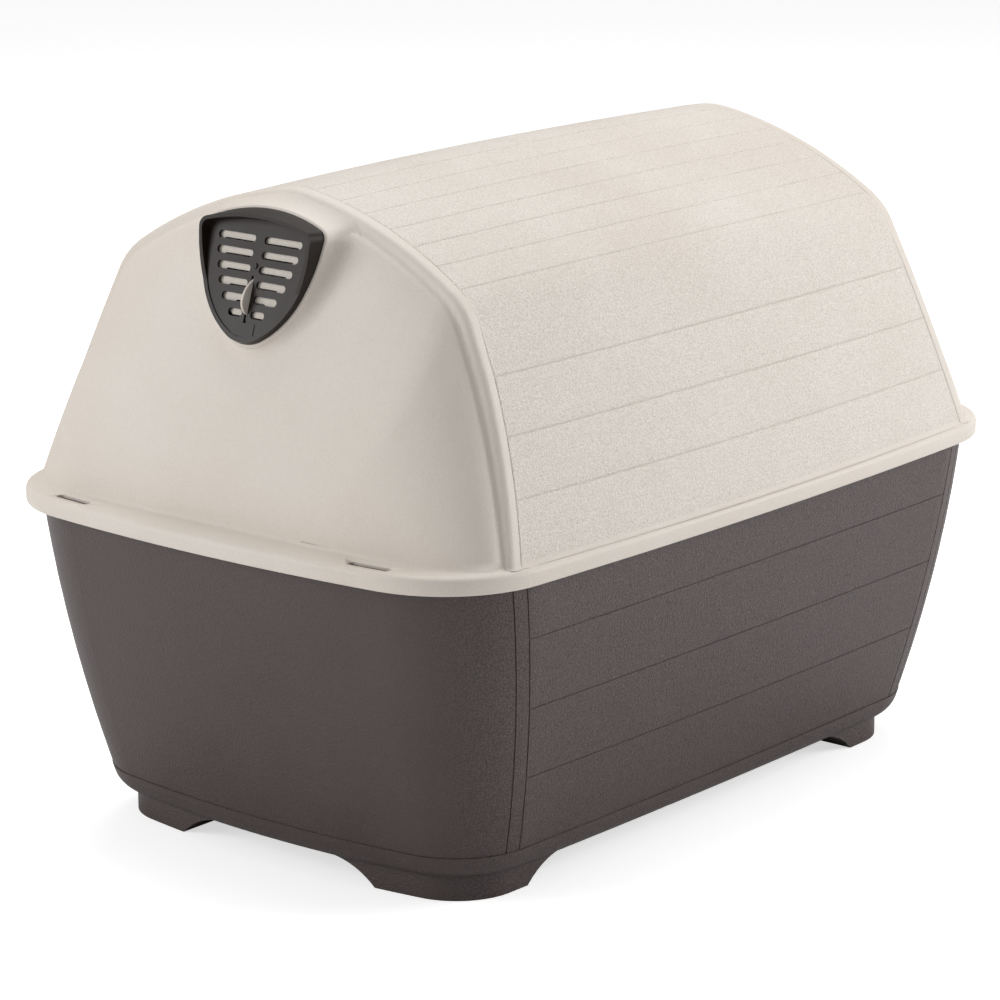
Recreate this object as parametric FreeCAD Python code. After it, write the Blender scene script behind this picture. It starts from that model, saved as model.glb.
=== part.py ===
import FreeCAD, Part
import os
from math import acos, asin, cos, degrees, hypot, radians, sin, sqrt, tan

# Moulded plastic dog house: a tapered tub on four corner feet, a lift-off barrel roof whose rim drops over
# the tub, a hooded vent with a sliding shutter at the rear, and an arched doorway at the front.
# Millimetres. The origin is on the floor under the middle, +Z is up, +Y is the vent end, -Y the doorway.

V = FreeCAD.Vector
UP = V(0, 0, 1)
ALONG = V(0, 1, 0)
ACROSS = V(1, 0, 0)

# Heights above the floor
FOOT_HEIGHT = 22.0          # underside of the tub
RIM_BOTTOM = 302.5          # lower edge of the roof's rim
RIM_TOP = 318.5             # upper face of the rim flange
SKIRT_HEIGHT = 47.0         # below this the tub's wall stands out by a fine step
SKIRT_STEP = 0.7

# Roof rim, a bowed rectangle with round corners
RIM_HALF_WIDTH = 294.0
RIM_HALF_LENGTH = 433.0
RIM_SIDE_BOW = 15.0
RIM_END_BOW = 24.0
RIM_CORNER = 106.0
RIM_EDGE_ROUND = 5.0

# Tub wall, at its top edge and at its underside
TUB_TOP_INSET = 14.0        # from the rim's outline to the tub wall
TUB_FOOT_HALF_WIDTH = 232.0
TUB_FOOT_HALF_LENGTH = 360.0
TUB_SIDE_BOW = 6.0
TUB_END_BOW = 24.5
TUB_TOP_CORNER = 103.0
TUB_FOOT_CORNER = 74.0
TUB_SIDE_BELLY = 7.4        # how far the side wall stands outside a straight taper at mid-height
TUB_END_BELLY = 3.6
TUB_FOOT_ROUND = 18.0
TUB_FLOOR = 4.5
TUB_FLANGE = 3.5
SHELL = 3.5                 # wall of both shells
SEAT_GAP = 0.3
RIM_CLEARANCE = 0.8         # between the tub's flange and the inside of the rim

# Roof arch at the end of the planks, half section from the ridge down
ARCH_CENTRE_OFFSET = 54.6   # the top arc's centre lies this far across the middle
ARCH_CENTRE_HEIGHT = 173.3
ARCH_RADIUS = 435.6
SHOULDER_START = 32.8       # slope in degrees where the shoulder begins
SHOULDER_END = 64.15
SHOULDER_RADIUS = 72.4
SIDE_RADIUS = 989.0
SIDE_CROWN = 12.0           # how much wider the arch is at mid-length, at each side
TOP_CROWN = 4.0             # how much higher it is at mid-length
PLANK_END = 320.0           # from the middle to the plank ends, at the rim
RAKE = 0.0823               # how much the ends lean inwards per unit of height
RIB_WIDTH = 14.0
RIB_ROUND = 6.5
RIB_STEP = 11.0             # from the arch's outer face in to the end wall
RIB_STEP_AT_RIM = 18.0
RIB_RECESS = 5.0            # the end wall starts this far behind the rib's face
RIB_CREASE = 0.6            # fine gap between the rib's inner edge and the end wall

# Scribed plank lines
GROOVE_WIDTH = 1.3
GROOVE_DEPTH = 0.7
END_LINE_DEPTH = 1.1        # of the line between the plank ends and the rib
ROOF_TOP_LINES = (14.6, 45.0, 74.0, 103.0, 130.0, 156.5, 183.4)
ROOF_SIDE_LINES = (470.0, 422.0, 374.0)
SHOULDER_BREAK = (513.0, 533.0)  # the end line stops on the smooth shoulder between these heights
TUB_SIDE_LINES = (252.0, 186.0, 119.0)
PILASTER_AT_RIM = 332.0     # from the middle to the double upright line
PILASTER_LEAN = 0.154
PILASTER_WIDTH = 14.5

# End walls, bulged outwards
DOME_REACH = 69.0           # how far the wall stands out at its foot, in the middle
DOME_RISE_POWER = 1.75      # profile up the middle: (1 - height ^ power) ^ (1 / round)
DOME_RISE_ROUND = 1.4
DOME_PLAN_POWER = 5.0       # profile across
DOME_PLAN_ROUND = 2.5
DOME_STRIPS = 10
DOME_LAST_TURN = 78.0       # the strips lie closer towards the flat middle
DOME_ROOT = 5.0             # how deep the bulge starts inside the rib

# Rim slots and the locking tabs in them
SLOT_ACROSS = 175.0
SLOT_LENGTH = 43.0
SLOT_WIDTH = 8.0
SLOT_INSET = 14.0           # from the rim's outline to the slot's middle
TAB_CLEARANCE = 0.4
TAB_DROP = 2.0              # the tab's head stays below the flange's face
TAB_DEPTH = 8.0             # how deep the tab stands in the top of the tub

# Doorway
DOOR_HALF_WIDTH = 140.0
DOOR_SILL = 112.0
DOOR_TOP = 462.0
DOOR_SILL_CORNER = 60.0
TRIM_LEG = 9.0              # the edging's legs reach this far over the wall
TRIM_WALL = 1.5

# Feet
FOOT_STEP = 13.0            # in from the tub wall
FOOT_DEPTH = 42.0
FOOT_REAR_END = 116.0
FOOT_SIDE_END = 250.0
FOOT_SPLAY = 44.0           # run of the slanted end where the foot meets the tub
FOOT_ARCH_RUN = 20.2        # the slanted end is an arc through this point
FOOT_ARCH_RISE = 14.6

# Drain in the floor
DRAIN_HALF_BORE = 14.0
DRAIN_CLEARANCE = 0.3
DRAIN_FLANGE = 20.0
DRAIN_FLANGE_THICK = 3.0
DRAIN_GRIP = 5.0            # the finger bar's width, length and rise
DRAIN_GRIP_LENGTH = 30.0
DRAIN_GRIP_RISE = 6.0
DRAIN_FROM_MIDDLE = 250.0

# Vent: a plane leaning back, with its own across (X), up and out directions
VENT_LEAN = 17.5
VENT_MIDDLE = V(0, 357.6, 541.0)
VENT_ROOT = -5.0            # level of the hood's foot on the collar, against the slotted face
VENT_FRONT = 14.0           # level at which the front outline is given
VENT_HOOD = 12.4            # how far the hood stands out at the top
VENT_HOOD_AT = 45.0
VENT_HOOD_FROM = -15.0      # the hood tapers to nothing here
VENT_LIP = 1.0
VENT_HOOD_WALL = 2.4
VENT_FACE = 2.5
VENT_HOLE_INSET = 6.5
SPIGOT_INSET = 6.9
SPIGOT_WALL = 3.0
ROW_PITCH = 13.0
ROW_TOP = 26.0
ROW_HALF_WIDTHS = (48.6, 47.1, 43.6, 38.9, 32.0, 21.0)
ROW_HEIGHT = 6.8
ROW_GAP = 5.0               # from the middle to the slots' inner ends
BOSS_AT = 3.1
BOSS_RADIUS = 2.6
PIN_ACROSS = 54.8
PIN_AT = 2.3
PIN_RADIUS = 1.1
PIN_CLEARANCE = 0.1
SHUTTER_THICK = 2.0
SHUTTER_INSET = 11.0
SHUTTER_TRAVEL = 6.5
SHUTTER_BAR = 7.4
SHUTTER_GAP = 0.5
SHUTTER_RAISE = 1.7         # at rest the bars stand this far above the slots' middles
THUMB_TOP = -6.3
THUMB_LENGTH = 33.5
THUMB_REACH = 8.8
THUMB_THICK = 2.2
THUMB_CREST = 0.65          # share of the thumb tab's length from its top to its crest
THUMB_UPPER_SWELL = 1.5     # how far the tab's two edges swell from straight
THUMB_LOWER_SWELL = 2.5
THUMB_MID_REACH = 0.58      # share of its reach at the middle of either edge
THUMB_SLOT_CLEARANCE = 0.6
RETAINER_THICK = 2.5
RETAINER_INSET = 3.5
RETAINER_WINDOW = 17.0
COLLAR_GROW = 2.5           # ledge of the collar round the hood's foot
COLLAR_DEPTH = 65.0
COLLAR_FLARE = 8.0          # how much wider the collar is at its depth
MARK_HALF_WIDTH = 12.3      # bare raised plate at the foot of the slots
MARK_FROM = -58.0
MARK_TO = -47.0
MARK_RISE = 0.6
BOSS_RISE = 1.2
PIN_BOSS_WALL = 1.6
PIN_COVER = 0.6             # left of the face in front of the pin
PIN_HEAD_RADIUS = 2.2
PIN_HEAD = 1.0

# Where the sections of lofted skins are given
CROWN_STATIONS = (-1.0, -0.5, 0.0, 0.5, 1.0)     # along half the roof
WALL_STATIONS = (0.0, 0.25, 0.5, 0.75, 1.0)      # up the tub's wall
ROUND_STATIONS = (0.0, 22.5, 45.0, 67.5, 90.0)   # degrees round an edge

# Worked-out values
TUB_HEIGHT = RIM_BOTTOM - FOOT_HEIGHT
FLANGE_UNDER = RIM_TOP - SHELL
TUB_TOP = FLANGE_UNDER - SEAT_GAP
FAR = 700.0


# ---------------------------------------------------------------- outlines in plan

def arc(a, b, c):
    return Part.Arc(a, b, c).toShape()


def plan_corner(half_width, half_length, side_bow, end_bow, corner):
    """Radii of the bowed side and end, their centres, and the centre of the corner's arc."""
    side_r = (half_length ** 2 + side_bow ** 2) / (2 * side_bow)
    end_r = (half_width ** 2 + end_bow ** 2) / (2 * end_bow)
    cx = half_width - side_r
    cy = half_length - end_r
    span = hypot(cx, cy)
    d1 = side_r - corner
    d2 = end_r - corner
    along = (d1 ** 2 - d2 ** 2 + span ** 2) / (2 * span)
    off = sqrt(d1 ** 2 - along ** 2)
    ux, uy = -cx / span, cy / span
    return side_r, end_r, cx, cy, cx + along * ux - off * uy, along * uy + off * ux


def plan_wire(half_width, half_length, side_bow, end_bow, corner, z):
    """A rectangle with bowed sides and ends and round corners, level at z."""
    side_r, end_r, cx, cy, px, py = plan_corner(half_width, half_length, side_bow, end_bow, corner)
    to_side = V(px - cx, py, 0).normalize()
    to_end = V(px, py - cy, 0).normalize()
    on_side = V(cx, 0, z) + to_side * side_r
    on_end = V(0, cy, z) + to_end * end_r
    mid = V(px, py, z) + (to_side + to_end).normalize() * corner

    def mirror(p, sx, sy):
        return V(sx * p.x, sy * p.y, p.z)

    edges = []
    corners = ((1, 1), (-1, 1), (-1, -1), (1, -1))
    for i, (sx, sy) in enumerate(corners):
        first, last = (on_side, on_end) if sx * sy > 0 else (on_end, on_side)
        edges.append(arc(mirror(first, sx, sy), mirror(mid, sx, sy), mirror(last, sx, sy)))
        tx, ty = corners[(i + 1) % 4]
        follow = on_end if sx * sy > 0 else on_side
        apex = V(0, sy * half_length, z) if sy == ty else V(sx * half_width, 0, z)
        edges.append(arc(mirror(follow, sx, sy), apex, mirror(follow, tx, ty)))
    return Part.Wire(edges)


def rim_wire(inset, z):
    return plan_wire(RIM_HALF_WIDTH - inset, RIM_HALF_LENGTH - inset, RIM_SIDE_BOW, RIM_END_BOW,
                     RIM_CORNER - inset, z)


def tub_size(z):
    """Half width, half length and corner radius of the tub wall at height z."""
    s = (z - FOOT_HEIGHT) / TUB_HEIGHT
    swell = 4 * s * (1 - s)
    top_width = RIM_HALF_WIDTH - TUB_TOP_INSET
    top_length = RIM_HALF_LENGTH - TUB_TOP_INSET
    width = TUB_FOOT_HALF_WIDTH + (top_width - TUB_FOOT_HALF_WIDTH) * s + TUB_SIDE_BELLY * swell
    length = TUB_FOOT_HALF_LENGTH + (top_length - TUB_FOOT_HALF_LENGTH) * s + TUB_END_BELLY * swell
    return width, length, TUB_FOOT_CORNER + (TUB_TOP_CORNER - TUB_FOOT_CORNER) * s


def tub_wire(z, inset=0.0):
    """Outline of the tub wall at height z, inset towards the inside."""
    width, length, corner = tub_size(z)
    return plan_wire(width - inset, length - inset, TUB_SIDE_BOW, TUB_END_BOW, corner - inset, z)


def prism(wire, height, direction=UP):
    return Part.Face(wire).extrude(direction * height)


def box(x0, x1, y0, y1, z0, z1):
    return Part.makeBox(x1 - x0, y1 - y0, z1 - z0, V(x0, y0, z0))


def one(shapes):
    """The union of several solids."""
    shapes = list(shapes)
    return shapes[0].fuse(shapes[1:]) if len(shapes) > 1 else shapes[0]


# ---------------------------------------------------------------- tub

def tub_body(bottom, top, inset, round_off=0.0):
    """The tub's wall form from bottom to top, with its lower edge rounded."""
    low = bottom + round_off
    heights = [low + (top - low) * share for share in WALL_STATIONS]
    body = Part.makeLoft([tub_wire(z, inset) for z in heights], True, False)
    if not round_off:
        return body
    turns = [radians(t) for t in ROUND_STATIONS]
    wires = [tub_wire(low - round_off * sin(t), inset + round_off * (1 - cos(t))) for t in turns]
    return body.fuse(Part.makeLoft(wires, True, False))


def tub_outer():
    skirt = tub_body(FOOT_HEIGHT, SKIRT_HEIGHT, -SKIRT_STEP, TUB_FOOT_ROUND)
    return tub_body(FOOT_HEIGHT, TUB_TOP, 0.0, TUB_FOOT_ROUND).fuse(skirt)


def tub_side_x(y, z):
    """Where the outer face of the tub's side wall lies, out to the middle of its corners."""
    width, length, corner = tub_size(z)
    side_r, _, cx, _, px, py = plan_corner(width, length, TUB_SIDE_BOW, TUB_END_BOW, corner)
    if y <= py * side_r / hypot(px - cx, py):
        return cx + sqrt(side_r ** 2 - y ** 2)
    return px + sqrt(corner ** 2 - (y - py) ** 2)


def level_line(z, reach):
    """Cutter for one plank line along both sides of the tub."""
    low = z - GROOVE_WIDTH / 2
    outside = prism(tub_wire(low, -GROOVE_DEPTH), GROOVE_WIDTH)
    ring = outside.cut(prism(tub_wire(low, GROOVE_DEPTH), GROOVE_WIDTH))
    return ring.common(box(-FAR, FAR, -reach, reach, 0, FAR))


def upright_line(side, end, shift):
    """Cutter for one upright line near a corner of the tub, leaning with the wall."""
    wires = []
    for share in WALL_STATIONS:
        z = SKIRT_HEIGHT + (TUB_TOP - SKIRT_HEIGHT) * share
        y = PILASTER_AT_RIM - PILASTER_LEAN * (RIM_BOTTOM - z) + shift
        x = tub_side_x(y, z)
        corners = [V(side * (x + dx), end * (y + dy), z) for dx, dy in (
            (-GROOVE_DEPTH, -GROOVE_WIDTH / 2), (GROOVE_DEPTH, -GROOVE_WIDTH / 2),
            (GROOVE_DEPTH, GROOVE_WIDTH / 2), (-GROOVE_DEPTH, GROOVE_WIDTH / 2))]
        wires.append(Part.makePolygon(corners + corners[:1]))
    return Part.makeLoft(wires, True, False)


def tub_lines():
    lines = []
    for z in TUB_SIDE_LINES:
        reach = PILASTER_AT_RIM - PILASTER_LEAN * (RIM_BOTTOM - z) - PILASTER_WIDTH / 2
        lines.append(level_line(z, reach))
    for side in (1, -1):
        for end in (1, -1):
            for shift in (-PILASTER_WIDTH / 2, PILASTER_WIDTH / 2):
                lines.append(upright_line(side, end, shift))
    return lines


def tub_flange():
    outer = prism(rim_wire(SHELL + RIM_CLEARANCE, TUB_TOP - TUB_FLANGE), TUB_FLANGE)
    return outer


def end_point_of_rim(x, inset):
    """How far from the middle the rim's end lies at x, less an inset."""
    end_r = (RIM_HALF_WIDTH ** 2 + RIM_END_BOW ** 2) / (2 * RIM_END_BOW)
    return RIM_HALF_LENGTH - end_r + sqrt(end_r ** 2 - x ** 2) - inset


def slot_places():
    y = end_point_of_rim(SLOT_ACROSS, SLOT_INSET)
    end_r = (RIM_HALF_WIDTH ** 2 + RIM_END_BOW ** 2) / (2 * RIM_END_BOW)
    turn = degrees(asin(SLOT_ACROSS / end_r))
    for name, sx, sy in (("rear_left", 1, 1), ("rear_right", -1, 1),
                         ("front_left", 1, -1), ("front_right", -1, -1)):
        yield name, V(sx * SLOT_ACROSS, sy * y, 0), -sx * sy * turn


def bar(length, width, low, high, place, turn):
    """An upright bar with round ends, standing at place and turned about Z."""
    r = width / 2
    a = length / 2 - r
    wire = Part.Wire([
        Part.makeLine(V(-a, -r, low), V(a, -r, low)),
        arc(V(a, -r, low), V(a + r, 0, low), V(a, r, low)),
        Part.makeLine(V(a, r, low), V(-a, r, low)),
        arc(V(-a, r, low), V(-a - r, 0, low), V(-a, -r, low)),
    ])
    solid = prism(wire, high - low)
    solid.rotate(V(), UP, turn)
    solid.translate(place)
    return solid


def door_prism(grow, y_far, y_near):
    """The doorway as one prism through the front, larger by grow all round."""
    w = DOOR_HALF_WIDTH + grow
    low = DOOR_SILL - grow
    c = DOOR_SILL_CORNER + grow
    spring = DOOR_TOP + grow - w
    k = c * (1 - sqrt(0.5))
    y = -y_far
    wire = Part.Wire([
        Part.makeLine(V(-w + c, y, low), V(w - c, y, low)),
        arc(V(w - c, y, low), V(w - k, y, low + k), V(w, y, low + c)),
        Part.makeLine(V(w, y, low + c), V(w, y, spring)),
        arc(V(w, y, spring), V(0, y, DOOR_TOP + grow), V(-w, y, spring)),
        Part.makeLine(V(-w, y, spring), V(-w, y, low + c)),
        arc(V(-w, y, low + c), V(-w + k, y, low + k), V(-w + c, y, low)),
    ])
    return prism(wire, y_far - y_near, ALONG)


def base_tub():
    body = tub_outer().fuse(tub_flange())
    inside = tub_body(FOOT_HEIGHT + TUB_FLOOR, TUB_TOP + 5, SHELL, TUB_FOOT_ROUND - SHELL)
    cuts = [inside]
    cuts += tub_lines()
    cuts.append(door_prism(0.0, FAR, TUB_FOOT_HALF_LENGTH / 2))
    for _, place, turn in slot_places():
        cuts.append(bar(SLOT_LENGTH - TAB_CLEARANCE, SLOT_WIDTH - TAB_CLEARANCE, TUB_TOP - TAB_DEPTH,
                        TUB_TOP + TAB_DEPTH, place, turn))
    below = V(0, DRAIN_FROM_MIDDLE, FOOT_HEIGHT - TUB_FLOOR)
    cuts.append(Part.makeCylinder(DRAIN_HALF_BORE, TUB_FLOOR * 3, below))
    return body.cut(cuts)


# ---------------------------------------------------------------- roof arch

def raked_y(z, beyond=0.0):
    """The leaning plane that ends the planks, moved out by beyond."""
    return PLANK_END + beyond - RAKE * (z - RIM_TOP)


def top_centre():
    return V(-ARCH_CENTRE_OFFSET, 0, ARCH_CENTRE_HEIGHT)


def shoulder_centre():
    turn = radians(SHOULDER_START)
    reach = ARCH_RADIUS - SHOULDER_RADIUS
    return top_centre() + V(sin(turn), 0, cos(turn)) * reach


def side_centre():
    turn = radians(SHOULDER_END)
    reach = SHOULDER_RADIUS - SIDE_RADIUS
    return shoulder_centre() + V(sin(turn), 0, cos(turn)) * reach


def on_arch(turn, inset=0.0):
    """Point of the half arch where its outer face slopes by turn degrees."""
    t = radians(turn)
    if turn <= SHOULDER_START:
        centre, radius = top_centre(), ARCH_RADIUS
    elif turn <= SHOULDER_END:
        centre, radius = shoulder_centre(), SHOULDER_RADIUS
    else:
        centre, radius = side_centre(), SIDE_RADIUS
    return centre + V(sin(t), 0, cos(t)) * (radius - inset)


def slope_at_x(x, inset=0.0):
    return degrees(asin((x + ARCH_CENTRE_OFFSET) / (ARCH_RADIUS - inset)))


def slope_at_z(z, inset=0.0):
    return degrees(acos((z - side_centre().z) / (SIDE_RADIUS - inset)))


def crowned(p, y):
    """A point of the arch moved to where it lies at y along the crowned roof."""
    side = on_arch(slope_at_z(RIM_TOP)).x
    ridge = on_arch(slope_at_x(0)).z
    fade = 1 - (y / raked_y(p.z)) ** 2
    grow_x = 1 + SIDE_CROWN / side * fade
    grow_z = 1 + TOP_CROWN / (ridge - RIM_TOP) * fade
    return V(p.x * grow_x, y, RIM_TOP + (p.z - RIM_TOP) * grow_z)


def half_arch(inset, foot_inset=None):
    """Points down the half arch: ridge plank edge, then arc middles and ends down to the rim."""
    foot_inset = inset if foot_inset is None else foot_inset
    first = slope_at_x(ROOF_TOP_LINES[0], inset)
    last = slope_at_z(RIM_TOP, foot_inset)
    mid = (SHOULDER_END + last) / 2
    return [
        on_arch(first, inset), on_arch((first + SHOULDER_START) / 2, inset), on_arch(SHOULDER_START, inset),
        on_arch((SHOULDER_START + SHOULDER_END) / 2, inset), on_arch(SHOULDER_END, inset),
        on_arch(mid, (inset * 2 + foot_inset) / 3), on_arch(last, foot_inset),
    ]


def ridge_point(inset):
    """Top of the round over the ridge plank, which meets the top arcs smoothly."""
    edge = on_arch(slope_at_x(ROOF_TOP_LINES[0], inset), inset)
    return V(0, 0, edge.z + edge.x * tan(radians(slope_at_x(ROOF_TOP_LINES[0], inset)) / 2))


def arch_wire(inset, low, place, foot_inset=None):
    """Closed arch outline with upright feet down to low, each point carried to its place by place."""
    half = half_arch(inset, foot_inset)
    half.append(V(half[-1].x, 0, low))
    right = [place(p) for p in half]
    left = [place(V(-p.x, p.y, p.z)) for p in half]
    edges = [arc(left[0], place(ridge_point(inset)), right[0])]
    for i in (0, 2, 4):
        edges.append(arc(right[i], right[i + 1], right[i + 2]))
    foot = (right[6], right[7], left[7], left[6])
    edges += [Part.makeLine(a, b) for a, b in zip(foot, foot[1:])]
    for i in (4, 2, 0):
        edges.append(arc(left[i + 2], left[i + 1], left[i]))
    return Part.Wire(edges)


def vault(inset, low, half_length):
    """Filled barrel with its lengthwise crown, square ends at half_length."""
    wires = []
    for station in CROWN_STATIONS:
        y = half_length * station
        wires.append(arch_wire(inset, low, lambda p, y=y: crowned(p, y)))
    return Part.makeLoft(wires, True, False)


def raked_wire(inset, low, end, beyond, foot_inset=None):
    return arch_wire(inset, low, lambda p: V(p.x, end * raked_y(p.z, beyond), p.z), foot_inset)


def beyond_rake(end, beyond):
    """Everything outside the leaning end plane."""
    tilt = degrees(asin(RAKE / hypot(1, RAKE)))
    block = box(-FAR, FAR, 0, FAR, -FAR, FAR)
    block.rotate(V(), ACROSS, tilt)
    block.translate(V(0, raked_y(RIM_TOP, beyond), RIM_TOP))
    if end < 0:
        block = block.mirror(V(), ALONG)
    return block


def rib(end, low):
    """Raised arch at one end of the planks, behind a scribed line, with a round outer edge."""
    turns = [radians(t) for t in ROUND_STATIONS]
    levels = [(GROOVE_WIDTH / 2, 0.0)]
    levels += [(RIB_WIDTH - RIB_ROUND * (1 - sin(t)), RIB_ROUND * (1 - cos(t))) for t in turns]
    parts = [between(end, low, a[0], b[0], a[1], b[1]) for a, b in zip(levels, levels[1:])]
    waist = between(end, low, -GROOVE_WIDTH, RIB_WIDTH / 2, END_LINE_DEPTH, END_LINE_DEPTH)
    recess = between(end, low - 1, RIB_WIDTH - RIB_RECESS, RIB_WIDTH * 3, RIB_STEP, RIB_STEP, RIB_STEP_AT_RIM)
    return one(parts).cut(recess).fuse([waist, shoulder_bridge(end, low)])


def shoulder_bridge(end, low):
    """Fills the end line where it stops on the shoulder."""
    whole = between(end, low, -GROOVE_WIDTH / 2, GROOVE_WIDTH / 2, 0.0, 0.0)
    return whole.common(box(-FAR, FAR, -FAR, FAR, *SHOULDER_BREAK))


def between(end, low, near, far, near_inset, far_inset, foot_inset=None):
    """Filled arch between two leaning planes."""
    near_wire = raked_wire(near_inset, low, end, near, foot_inset)
    far_wire = raked_wire(far_inset, low, end, far, foot_inset)
    return Part.makeLoft([near_wire, far_wire], True, True)


def dome(end, low, inset):
    """Filled end wall: arches parallel to the plank ends that shrink as they reach out."""
    step = RIB_CREASE + inset

    def section(reach, wide, high):
        def place(p):
            z = RIM_TOP + (p.z - RIM_TOP) * high if p.z > RIM_TOP else p.z
            return V(p.x * wide, end * raked_y(z, RIB_WIDTH - RIB_RECESS + reach - inset), z)
        return arch_wire(RIB_STEP + step, low, place, RIB_STEP_AT_RIM + step)

    wires = [section(-DOME_ROOT, 1.0, 1.0)]
    for i in range(DOME_STRIPS + 1):
        share = sin(radians(DOME_LAST_TURN * i / DOME_STRIPS))
        wide = (1 - share ** DOME_PLAN_ROUND) ** (1 / DOME_PLAN_POWER)
        high = (1 - share ** DOME_RISE_ROUND) ** (1 / DOME_RISE_POWER)
        wires.append(section(DOME_REACH * share, wide, high))
    return Part.makeLoft(wires, True, True)


def plank_strip(turn_at, span):
    """Cutter for one plank line that runs along the roof, at the slope that turn_at gives."""
    wires = []
    for station in CROWN_STATIONS:
        y = span * station
        turn = radians(turn_at)
        middle = on_arch(turn_at)
        along_skin = V(cos(turn), 0, -sin(turn)) * (GROOVE_WIDTH / 2)
        through = V(sin(turn), 0, cos(turn)) * GROOVE_DEPTH
        corners = [crowned(middle + along_skin * a + through * b, y)
                   for a, b in ((-1, -1), (1, -1), (1, 1), (-1, 1))]
        wires.append(Part.makePolygon(corners + corners[:1]))
    return Part.makeLoft(wires, True, False)


def plank_lines():
    """Cutters for all the plank lines of the roof, kept between the end ribs."""
    turns = [slope_at_x(x) for x in ROOF_TOP_LINES[:-1]]
    turns.append(shoulder_slope_at_x(ROOF_TOP_LINES[-1]))
    turns += [slope_at_z(z) for z in ROOF_SIDE_LINES]
    strips = []
    for turn in turns:
        strip = plank_strip(turn, PLANK_END)
        strips.append(strip)
        strips.append(strip.mirror(V(), ACROSS))
    return [strip.cut([beyond_rake(1, 0), beyond_rake(-1, 0)]) for strip in strips]


def shoulder_slope_at_x(x):
    return degrees(asin((x - shoulder_centre().x) / SHOULDER_RADIUS))


def rim_solid():
    """The rim as a filled plate with its top edge rounded."""
    turns = [radians(t) for t in ROUND_STATIONS]
    high = RIM_TOP - RIM_EDGE_ROUND
    plate = prism(rim_wire(0.0, RIM_BOTTOM), high - RIM_BOTTOM)
    wires = [rim_wire(RIM_EDGE_ROUND * (1 - cos(t)), high + RIM_EDGE_ROUND * sin(t)) for t in turns]
    return plate.fuse(Part.makeLoft(wires, True, False))


# ---------------------------------------------------------------- vent outlines

VENT_UP = V(0, -sin(radians(VENT_LEAN)), cos(radians(VENT_LEAN)))
VENT_OUT = V(0, cos(radians(VENT_LEAN)), sin(radians(VENT_LEAN)))

# Half outlines from the top middle down, as arcs through three points each (across, up)
VENT_ROOT_ARCS = (
    ((61.0, 42.5), (66.0, 38.5), (67.2, 31.0)),
    ((67.2, 31.0), (64.2, 9.0), (57.5, -13.0)),
    ((57.5, -13.0), (44.0, -37.5), (20.0, -59.0)),
)
VENT_ROOT_TOP = 54.0
VENT_ROOT_FOOT = -65.0
VENT_FRONT_ARCS = (
    ((57.0, 37.8), (62.0, 34.0), (63.6, 27.0)),
    ((63.6, 27.0), (60.5, 6.0), (54.0, -15.0)),
    ((54.0, -15.0), (41.0, -38.0), (18.0, -57.0)),
)
VENT_FRONT_TOP = 45.2
VENT_FRONT_FOOT = -62.0


def on_vent(across, up, out):
    return VENT_MIDDLE + ACROSS * across + VENT_UP * up + VENT_OUT * out


def vent_wire(arcs, top, foot, grow, out):
    """A vent outline at the level out, larger by grow all round."""
    right = [[on_vent(a, b, out) for a, b in points] for points in arcs]
    left = [[on_vent(-a, b, out) for a, b in points] for points in arcs]
    edges = [arc(left[0][0], on_vent(0, top, out), right[0][0])]
    edges += [arc(*points) for points in right]
    edges.append(arc(right[-1][2], on_vent(0, foot, out), left[-1][2]))
    edges += [arc(*reversed(points)) for points in reversed(left)]
    wire = Part.Wire(edges)
    return wire.makeOffset2D(grow) if grow else wire


def vent_root(grow, out):
    return vent_wire(VENT_ROOT_ARCS, VENT_ROOT_TOP, VENT_ROOT_FOOT, grow, out)


def vent_front(grow, out):
    return vent_wire(VENT_FRONT_ARCS, VENT_FRONT_TOP, VENT_FRONT_FOOT, grow, out)


def vent_block(grow, low, high):
    """A plug in the shape of the vent's root between two levels."""
    return prism(vent_root(grow, low), high - low, VENT_OUT)


# ---------------------------------------------------------------- roof

def vent_collar():
    """Filled boss on the rear end wall that carries the vent."""
    near = vent_root(COLLAR_GROW, VENT_ROOT)
    far = vent_root(COLLAR_GROW + COLLAR_FLARE, VENT_ROOT - COLLAR_DEPTH)
    return Part.makeLoft([far, near], True, True)


def roof_shell():
    low = FLANGE_UNDER
    deep = RIM_BOTTOM - SHELL
    line = GROOVE_WIDTH / 2
    stop = RIB_WIDTH - RIB_RECESS - SHELL
    planks = vault(0.0, low, PLANK_END + RIB_WIDTH).cut([beyond_rake(1, -line), beyond_rake(-1, -line)])
    ends = [rib(end, low) for end in (1, -1)] + [dome(end, low, 0.0) for end in (1, -1)]
    room = vault(SHELL, deep, PLANK_END + RIB_WIDTH).cut([beyond_rake(1, stop), beyond_rake(-1, stop)])
    end_rooms = [dome(1, deep, SHELL), dome(-1, deep, SHELL)]
    under = prism(rim_wire(SHELL, deep), FLANGE_UNDER - deep)
    shell = planks.fuse(ends).fuse(vent_collar())
    for space in [room] + end_rooms + [under]:
        shell = shell.cut(space)
    shell = shell.fuse(rim_solid().cut(under).cut(room).cut(end_rooms))
    behind_vent = VENT_ROOT - COLLAR_DEPTH
    shell = shell.cut([vent_block(COLLAR_GROW - SHELL, behind_vent, VENT_ROOT - SHELL),
                       vent_block(-VENT_HOLE_INSET, behind_vent, VENT_ROOT + SHELL)])
    shell = shell.cut([vent_rod(a, b, PIN_RADIUS + PIN_BOSS_WALL + SEAT_GAP, VENT_ROOT - SHELL * 2, VENT_ROOT)
                       for a, b in pin_places()])
    shell = shell.cut(door_prism(0.0, FAR, PLANK_END / 2))
    shell = shell.cut([bar(SLOT_LENGTH, SLOT_WIDTH, FLANGE_UNDER - SHELL, RIM_TOP + SHELL, place, turn)
                       for _, place, turn in slot_places()])
    return shell.cut(plank_lines())


# ---------------------------------------------------------------- vent pieces

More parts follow.
